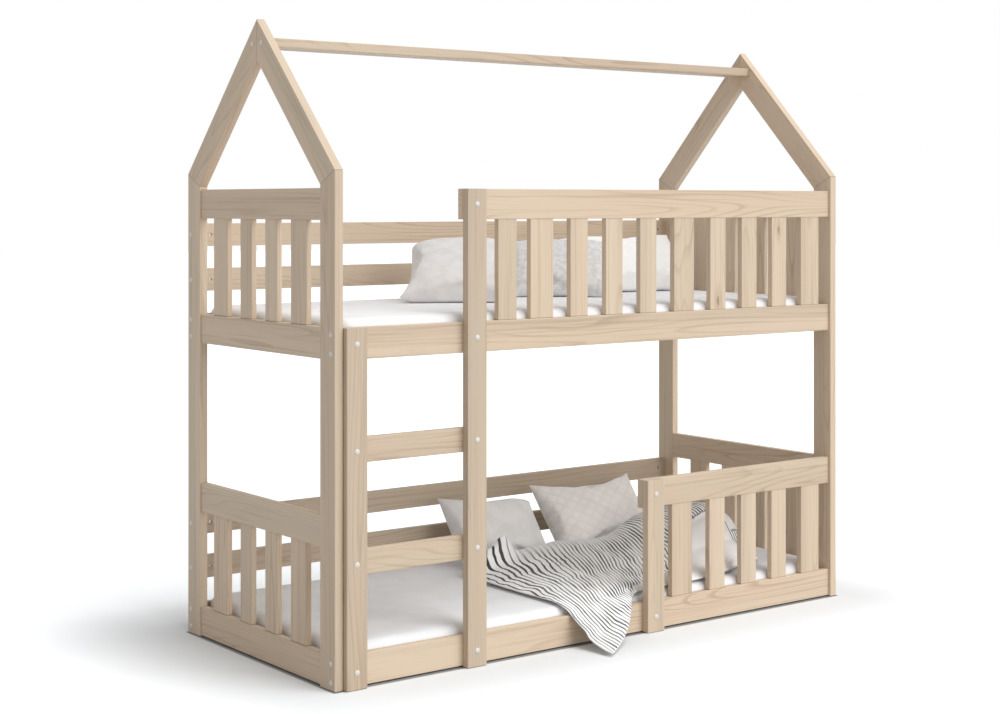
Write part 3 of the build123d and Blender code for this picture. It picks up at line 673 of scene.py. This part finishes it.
grey_cotton = cotton("grey_cotton", (0.86, 0.85, 0.84), (0.77, 0.76, 0.75))[0]
speckled_cotton = cotton("speckled_cotton", (0.83, 0.81, 0.80), (0.75, 0.73, 0.72), mottle=22.0)[0]
textured_cotton = cotton("textured_cotton", (0.82, 0.81, 0.80), (0.67, 0.66, 0.65), mottle=45.0,
                         relief=squiggles)[0]
white_cotton = cotton("white_cotton", (0.99, 0.99, 0.98), (0.95, 0.95, 0.93), mottle=30.0)[0]
hem_cotton = cotton("hem_cotton", (0.93, 0.93, 0.93), (0.89, 0.89, 0.90))[0]
quilted_cotton = cotton("quilted_cotton", (0.97, 0.94, 0.91), (0.91, 0.87, 0.84), relief=quilting)[0]
mattress_cover = cotton("mattress_cover", (0.90, 0.91, 0.93), (0.86, 0.87, 0.89), threads=700.0)[0]


# Mattresses: cuts along x and y, rounded corners and edges, a top that slopes off near them, and a fuller end
MATTRESS_CUTS = ((0, 34), (1, 14))
MATTRESS_CORNER = 0.045
MATTRESS_EDGE = 0.024
SLOPE_DROP, SLOPE_RUN = 0.008, 0.11
PLUMP_START, PLUMP_RUN = 0.78, 0.07
SHARP_EDGE = 1.0  # radians between two faces


def make_mattress(level, body, plump_end=0.0):
    """A covered foam mattress, whose right end may be fuller."""
    low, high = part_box(level + "_mattress")
    size, centre = high - low, (low + high) / 2
    shell = bmesh.new()
    bmesh.ops.create_cube(shell, size=1.0)
    bmesh.ops.scale(shell, vec=size, verts=shell.verts)
    for axis, cuts in MATTRESS_CUTS:
        runs = [edge for edge in shell.edges
                if abs(edge.verts[0].co[axis] - edge.verts[1].co[axis]) > size[axis] * 0.9]
        bmesh.ops.subdivide_edges(shell, edges=runs, cuts=cuts, use_grid_fill=True)
    upright = [edge for edge in shell.edges
               if abs((edge.verts[0].co - edge.verts[1].co).z) > size.z / 2
               and edge.calc_face_angle() > SHARP_EDGE]
    bmesh.ops.bevel(shell, geom=upright, offset=MATTRESS_CORNER, offset_type="OFFSET", affect="EDGES",
                    segments=8, profile=0.5, material=-1)
    rims = [edge for edge in shell.edges if edge.is_manifold and edge.calc_face_angle() > SHARP_EDGE]
    bmesh.ops.bevel(shell, geom=rims, offset=MATTRESS_EDGE, offset_type="OFFSET", affect="EDGES",
                    segments=6, profile=0.5, material=-1)
    cloth_layer(shell)
    for vertex in shell.verts:
        if vertex.co.z > 0:
            inward = min(size.x / 2 - abs(vertex.co.x), size.y / 2 - abs(vertex.co.y))
            vertex.co.z -= SLOPE_DROP * max(0.0, 1 - inward / SLOPE_RUN) ** 2
            vertex.co.z += plump_end * min(1.0, max(0.0, (vertex.co.x - PLUMP_START) / PLUMP_RUN))
    bmesh.ops.translate(shell, vec=centre, verts=shell.verts)
    piece = new_piece(level + "_mattress_cover", shell, body, [mattress_cover])
    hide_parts(level + "_mattress")
    return piece


lower_cover = make_mattress("lower", "lower_bedding", 0.009)
make_mattress("upper", "upper_bedding")
far = make_pillow("far_pillow", "upper_bedding", white_cotton, UPPER_TOP)
middle = make_pillow("middle_pillow", "upper_bedding", textured_cotton, UPPER_TOP, [far])
make_pillow("reading_pillow", "upper_bedding", speckled_cotton, UPPER_TOP, [middle])
plain = make_pillow("plain_pillow", "lower_bedding", grey_cotton, LOWER_TOP)
quilted = make_pillow("quilted_pillow", "lower_bedding", quilted_cotton, LOWER_TOP, [plain])


# Duvet: a control net of points in metres. Columns follow the stripes, from the left edge on, and rows
# run from the front edge, whose corner trails on the floor, to the back edge at the pillows.
DUVET_COLUMNS = (0.0, 0.06, 0.14, 0.215, 0.30, 0.42, 0.55, 0.70, 0.94, 1.15, 1.29)
DUVET_ROWS = (0.0, 0.08, 0.17, 0.26, 0.33, 0.4, 0.49, 0.6, 0.69, 0.77, 0.83, 0.88)
DUVET_NET = [
    [(-0.142, -0.517, 0.005), (-0.086, -0.482, 0.014), (-0.022, -0.440, 0.036), (0.038, -0.394, 0.068),
     (0.076, -0.352, 0.098), (0.103, -0.303, 0.125), (0.205, -0.297, 0.125), (0.370, -0.298, 0.125),
     (0.560, -0.291, 0.125), (0.690, -0.246, 0.125), (0.762, -0.205, 0.125)],
    [(-0.140, -0.418, 0.034), (-0.096, -0.412, 0.040), (-0.044, -0.393, 0.060), (0.008, -0.366, 0.088),
     (0.058, -0.336, 0.112), (0.110, -0.296, 0.134), (0.209, -0.290, 0.133), (0.372, -0.290, 0.136),
     (0.561, -0.286, 0.138), (0.692, -0.236, 0.140), (0.766, -0.196, 0.126)],
    [(-0.151, -0.352, 0.086), (-0.112, -0.353, 0.086), (-0.062, -0.350, 0.097), (-0.012, -0.337, 0.115),
     (0.044, -0.318, 0.127), (0.118, -0.286, 0.140), (0.214, -0.281, 0.141), (0.375, -0.282, 0.148),
     (0.562, -0.271, 0.152), (0.694, -0.222, 0.158), (0.770, -0.186, 0.127)],
    [(-0.172, -0.318, 0.129), (-0.134, -0.316, 0.131), (-0.080, -0.314, 0.135), (-0.030, -0.311, 0.137),
     (0.030, -0.302, 0.139), (0.129, -0.269, 0.145), (0.222, -0.264, 0.146), (0.380, -0.262, 0.154),
     (0.564, -0.250, 0.164), (0.697, -0.204, 0.178), (0.774, -0.172, 0.128)],
    [(-0.184, -0.255, 0.130), (-0.136, -0.252, 0.140), (-0.070, -0.247, 0.146), (-0.006, -0.241, 0.149),
     (0.058, -0.234, 0.153), (0.142, -0.224, 0.154), (0.240, -0.216, 0.156), (0.392, -0.214, 0.164),
     (0.572, -0.206, 0.182), (0.712, -0.168, 0.214), (0.777, -0.145, 0.131)],
    [(-0.186, -0.190, 0.130), (-0.122, -0.188, 0.143), (-0.042, -0.184, 0.149), (0.026, -0.182, 0.152),
     (0.091, -0.180, 0.156), (0.168, -0.176, 0.159), (0.285, -0.166, 0.162), (0.420, -0.160, 0.174),
     (0.590, -0.148, 0.226), (0.735, -0.128, 0.262), (0.776, -0.112, 0.136)],
    [(-0.185, -0.105, 0.130), (-0.104, -0.102, 0.147), (-0.012, -0.098, 0.154), (0.058, -0.096, 0.158),
     (0.131, -0.094, 0.162), (0.216, -0.092, 0.166), (0.322, -0.086, 0.172), (0.448, -0.082, 0.192),
     (0.600, -0.078, 0.282), (0.748, -0.072, 0.312), (0.780, -0.060, 0.140)],
    [(-0.184, -0.012, 0.131), (-0.092, -0.006, 0.151), (0.012, 0.000, 0.160), (0.092, 0.000, 0.168),
     (0.172, 0.000, 0.174), (0.272, 0.000, 0.178), (0.372, 0.000, 0.182), (0.466, 0.000, 0.208),
     (0.600, -0.004, 0.302), (0.744, -0.010, 0.314), (0.780, -0.005, 0.140)],
    [(-0.182, 0.066, 0.132), (-0.084, 0.072, 0.156), (0.028, 0.078, 0.170), (0.116, 0.080, 0.181),
     (0.202, 0.080, 0.188), (0.310, 0.080, 0.190), (0.396, 0.076, 0.188), (0.474, 0.070, 0.240),
     (0.584, 0.062, 0.302), (0.734, 0.048, 0.302), (0.778, 0.050, 0.140)],
    [(-0.178, 0.140, 0.133), (-0.076, 0.146, 0.164), (0.036, 0.150, 0.186), (0.130, 0.150, 0.197),
     (0.220, 0.150, 0.200), (0.332, 0.150, 0.198), (0.408, 0.146, 0.190), (0.484, 0.138, 0.246),
     (0.568, 0.132, 0.292), (0.722, 0.118, 0.266), (0.776, 0.112, 0.132)],
    [(-0.174, 0.184, 0.132), (-0.066, 0.186, 0.170), (0.044, 0.188, 0.200), (0.140, 0.189, 0.209),
     (0.232, 0.189, 0.206), (0.344, 0.188, 0.200), (0.420, 0.186, 0.190), (0.496, 0.184, 0.234),
     (0.572, 0.180, 0.270), (0.700, 0.170, 0.222), (0.768, 0.158, 0.128)],
    [(-0.172, 0.192, 0.126), (-0.062, 0.196, 0.144), (0.048, 0.197, 0.156), (0.144, 0.197, 0.158),
     (0.236, 0.197, 0.156), (0.346, 0.197, 0.152), (0.422, 0.197, 0.150), (0.498, 0.197, 0.152),
     (0.580, 0.197, 0.174), (0.700, 0.192, 0.154), (0.764, 0.180, 0.125)],
]
# Places where the duvet bunches up: x, y, reach in x and y, height
DUVET_BUNCHES = (
    (-0.024, 0.174, 0.034, 0.034, 0.066),
    (-0.094, 0.164, 0.052, 0.034, 0.052),
    (0.600, -0.212, 0.100, 0.022, 0.014),
    (0.600, -0.166, 0.100, 0.014, -0.014),
    (0.640, -0.118, 0.090, 0.022, 0.012),
    (0.640, -0.074, 0.100, 0.013, -0.014),
    (0.060, -0.060, 0.020, 0.150, 0.008),
    (0.250, -0.040, 0.024, 0.140, 0.009),
)


# Stripes: half their pitch, and the least and greatest half width of a line
STRIPE_PITCH_HALF = 0.009
LINE_HALVES = (0.0014, 0.0044)
STRIPE_SWAY, STRIPE_KINK = 0.07, 0.020
# The stripes' ink, also the colour of the painted shadow along the duvet's fold
INK_AND_FOLD_SHADOW = (0.035, 0.035, 0.04)
# Along the cloth, from here on its plain reverse can be turned over at the front
FALL_END = (0.42, 0.43)


def stripes(tree, cloth, along):
    """1 on the dark lines that run down the cloth, waved and uneven, and 0 between them."""
    sway = speckle(tree, cloth, (3.0, 5.0, 1.0), detail=1.0)
    kinks = speckle(tree, cloth, (2.5, 13.0, 1.0), detail=2.0, roughness=0.6)
    across = reckon(tree, "ADD", along, reckon(tree, "MULTIPLY", sway, STRIPE_SWAY))
    across = reckon(tree, "ADD", across, reckon(tree, "MULTIPLY", kinks, STRIPE_KINK))
    wave = reckon(tree, "PINGPONG", across, STRIPE_PITCH_HALF)
    width = between(tree, speckle(tree, cloth, (30.0, 7.0, 1.0), detail=1.0), 0.3, 0.72, *LINE_HALVES)
    return reckon(tree, "LESS_THAN", wave, width)


def printed_side(tree, cloth, along, down):
    """How far a point lies inside the printed side: below 0, the cloth's plain reverse is turned over."""
    edge = reckon(tree, "ADD", between(tree, along, 0.47, 0.55, 0.17, 0.24),
                  between(tree, along, 0.66, 0.76, 0.0, 0.26))
    edge = reckon(tree, "ADD", edge, between(tree, along, 1.06, 1.10, 0.0, -0.38))
    edge = reckon(tree, "ADD", edge, reckon(tree, "MULTIPLY", speckle(tree, cloth, (14.0, 1.0, 1.0)), 0.04))
    front = reckon(tree, "MULTIPLY", edge, between(tree, along, *FALL_END))
    low_fold = reckon(tree, "SUBTRACT", down, front)
    high_fold = reckon(tree, "SUBTRACT", between(tree, along, 1.07, 1.10, 1.0, 0.37), down)
    return reckon(tree, "MINIMUM", low_fold, high_fold)


def striped_cotton():
    """White cotton with thin dark stripes, and its plain reverse where it is turned over, with painted shade
    near the pillows and a painted shadow along the fold.
    """
    material, tree, shader, colour = cotton("striped_cotton", (0.98, 0.98, 0.975), (0.94, 0.94, 0.945))
    cloth = cloth_map(tree)
    along, down = split(tree, cloth)[:2]
    line = stripes(tree, cloth, along)
    # Between the bunch and the heap, near the pillows, the cloth is painted grey and its print faded, as
    # painted shade
    middle = reckon(tree, "MULTIPLY", between(tree, along, 0.07, 0.13),
                    between(tree, along, 0.58, 0.68, 1.0, 0.0))
    shade_at_pillows = reckon(tree, "MULTIPLY", between(tree, down, 0.69, 0.79), middle)
    colour = blended(tree, reckon(tree, "MULTIPLY", shade_at_pillows, 0.6), colour, (0.76, 0.75, 0.76))
    clear = reckon(tree, "SUBTRACT", 1.0, reckon(tree, "MULTIPLY", shade_at_pillows, 0.8))
    line = reckon(tree, "MULTIPLY", line, clear)
    # A painted shadow runs along the fold at the edge of the printed side
    inside = printed_side(tree, cloth, along, down)
    printed = reckon(tree, "GREATER_THAN", inside, 0.0)
    fold_shadow = between(tree, reckon(tree, "ABSOLUTE", inside), 0.001, 0.006, 0.6, 0.0)
    # Dark where the print's lines are, and where the painted fold shadow is
    dark = reckon(tree, "MAXIMUM", reckon(tree, "MULTIPLY", line, printed),
                  reckon(tree, "MULTIPLY", fold_shadow, between(tree, along, *FALL_END)))
    tree.links.new(blended(tree, dark, colour, INK_AND_FOLD_SHADOW), shader.inputs["Base Color"])
    return material


def collider(piece):
    """Marks a piece as something that simulated cloth lies on. Returns the modifier, to be removed."""
    modifier = piece.modifiers.new("touch", "COLLISION")
    piece.collision.thickness_outer = 0.002
    piece.collision.cloth_friction = 20.0
    return modifier


def plain_block(name, low, high):
    """A plain block that stands for a board while cloth is simulated."""
    shell = bmesh.new()
    bmesh.ops.create_cube(shell, size=1.0)
    bmesh.ops.scale(shell, vec=Vector(high) - Vector(low), verts=shell.verts)
    bmesh.ops.translate(shell, vec=(Vector(high) + Vector(low)) / 2, verts=shell.verts)
    mesh = bpy.data.meshes.new(name)
    shell.to_mesh(mesh)
    shell.free()
    block = bpy.data.objects.new(name, mesh)
    scene.collection.objects.link(block)
    return block


def keep_shape(piece):
    """Puts what the modifiers make into the piece's own mesh."""
    shaped = bpy.data.meshes.new_from_object(piece.evaluated_get(bpy.context.evaluated_depsgraph_get()))
    piece.modifiers.clear()
    piece.data = shaped


DUVET_THICKNESS = 0.005
CREASE_HEIGHT = 0.006
# Blocks that the settling duvet can't pass. The post's is 3 mm nearer the fall than the post, for clearance.
DUVET_STAND_INS = {
    "rail_stand_in": ((-0.96, -0.3385, 0.002), (0.96, -0.3165, 0.090)),
    "post_stand_in": ((0.124, -0.3645, 0.0), (0.193, -0.3385, 0.469)),
    "floor_stand_in": ((-1.5, -1.5, -0.1), (1.5, 1.5, 0.0)),
}


def make_duvet(rests_on, pillows):
    """The duvet: its net made fine, bunched and creased, settled as cloth, and given a thickness."""
    rows, columns = len(DUVET_NET), len(DUVET_NET[0])
    net = bmesh.new()
    bmesh.ops.create_grid(net, x_segments=columns - 1, y_segments=rows - 1, size=0.5)
    layer = net.loops.layers.uv.new("cloth")
    for vertex in net.verts:
        column = round((vertex.co.x + 0.5) * (columns - 1))
        row = round((vertex.co.y + 0.5) * (rows - 1))
        for loop in vertex.link_loops:
            loop[layer].uv = (DUVET_COLUMNS[column], DUVET_ROWS[row])
        vertex.co = DUVET_NET[row][column]
    piece = new_piece("duvet_cloth", net, "lower_bedding", [striped_cotton(), hem_cotton])
    finer = piece.modifiers.new("finer", "SUBSURF")
    finer.levels = finer.render_levels = 3
    finer.boundary_smooth = "PRESERVE_CORNERS"
    keep_shape(piece)
    for vertex in piece.data.vertices:
        x, y, z = vertex.co
        for bunch_x, bunch_y, reach_x, reach_y, height in DUVET_BUNCHES:
            far = math.hypot((x - bunch_x) / reach_x, (y - bunch_y) / reach_y)
            z += height * math.exp(-far * far)
        crease = noise.noise(Vector((15 * x - 5 * y, 4 * y, 0.3)))
        vertex.co.z = z + CREASE_HEIGHT * crease * min(1.0, max(0.0, (z - 0.12) / 0.03))
    blocks = [plain_block(name, low, high) for name, (low, high) in DUVET_STAND_INS.items()]
    touched = [(solid, collider(solid)) for solid in [*rests_on, *blocks]]
    simulate(piece, frames=16, cap=0.010, growth=0.05, gravity=0.1, stiffness=20.0, bending=1.5)
    for solid, modifier in touched:
        solid.modifiers.remove(modifier)
    for block in blocks:
        bpy.data.objects.remove(block)
    push_out(piece, pillows, 0.002)
    thick = piece.modifiers.new("thick", "SOLIDIFY")
    thick.thickness = DUVET_THICKNESS
    thick.offset = -1
    thick.material_offset = 1
    thick.material_offset_rim = 1
    rounded = piece.modifiers.new("rounded", "SUBSURF")
    rounded.levels = rounded.render_levels = 1
    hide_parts("duvet")
    return piece


# Floor and light

# Painted shade and light on the floor: how white it is next to the left end and along the front, darker there
# as painted shade of the bed, and away from the bed, whiter than white so that the lamps' far shadows wash
# out as painted light; and how far away
FLOOR_SHADE_AND_LIGHT = (0.90, 0.86, 1.25)
FLOOR_FADE = 0.55
# A painted contact shadow: the floor is darkest within this distance of the bed, by this factor
CONTACT_REACH, CONTACT_SHADE = 0.012, 0.32
FLOOR_TINT = (0.975, 1.0, 1.02)
# What the floor throws back as light onto the bed
FLOOR_BOUNCE = (0.55, 0.55, 0.55)
# The floor lies this much below the feet, so that their undersides don't mix with it
FLOOR_DROP = 0.002


def shaded_floor():
    """A pale floor with painted shade near the bed, which brightens to white away from it as painted light,
    and a painted contact shadow where the bed stands.
    """
    floor_mesh = bmesh.new()
    bmesh.ops.create_grid(floor_mesh, x_segments=1, y_segments=1, size=40.0)
    mesh = bpy.data.meshes.new("floor")
    floor_mesh.to_mesh(mesh)
    floor_mesh.free()
    floor = bpy.data.objects.new("floor", mesh)
    scene.collection.objects.link(floor)
    floor.location.z = -FLOOR_DROP
    material, tree, shader = new_material("pale_floor_painted_shade", 0.9)
    shader.inputs["Specular IOR Level"].default_value = 0.0
    place = object_place(tree)
    along = split(tree, place)[0]
    sideways = reckon(tree, "SUBTRACT", reckon(tree, "ABSOLUTE", along), HALF_LENGTH)
    across = reckon(tree, "SUBTRACT", from_middle(tree, place), HALF_DEPTH)
    squares = [reckon(tree, "POWER", reckon(tree, "MAXIMUM", away, 0.0), 2.0) for away in (sideways, across)]
    far = reckon(tree, "SQRT", reckon(tree, "ADD", *squares))
    near_shade = between(tree, along, -1.2, -0.5, *FLOOR_SHADE_AND_LIGHT[:2])
    share = between(tree, far, 0.0, FLOOR_FADE)
    shade = add_node(tree, "ShaderNodeMix", {0: share, 2: near_shade, 3: FLOOR_SHADE_AND_LIGHT[2]}).outputs[0]
    # Painted contact shadow along the bed's footprint
    shade = reckon(tree, "MULTIPLY", shade, between(tree, far, 0.0, CONTACT_REACH, CONTACT_SHADE, 1.0))
    tints = {channel: reckon(tree, "MULTIPLY", shade, tint) for channel, tint in enumerate(FLOOR_TINT)}
    pale = add_node(tree, "ShaderNodeCombineColor", tints).outputs[0]
    tree.links.new(blended(tree, seen_directly(tree), FLOOR_BOUNCE, pale), shader.inputs["Base Color"])
    mesh.materials.append(material)


def lamp(name, energy, spread, towards):
    """A far lamp whose light comes from one way, with soft shadows."""
    data = bpy.data.lights.new(name, "SUN")
    data.energy = energy
    data.angle = spread
    light = bpy.data.objects.new(name, data)
    scene.collection.objects.link(light)
    light.rotation_euler = Vector(towards).to_track_quat("Z", "Y").to_euler()


def soft_light():
    """An even white surround, which the camera sees at full strength, and two soft lamps."""
    world = bpy.data.worlds.new("studio")
    scene.world = world
    world.use_nodes = True
    tree = world.node_tree
    background = tree.nodes["Background"]
    background.inputs["Color"].default_value = (1.0, 1.0, 1.0, 1.0)
    strength = between(tree, seen_directly(tree), 0.0, 1.0, 0.5, 1.0)
    tree.links.new(strength, background.inputs["Strength"])
    lamp("overhead", 1.1, 0.6, (0.2, -0.27, 0.94))
    lamp("front", 1.5, 0.9, (0.3, -0.85, 0.42))


make_duvet([lower_cover], [plain, quilted])
shaded_floor()
soft_light()
bpy.context.view_layer.update()
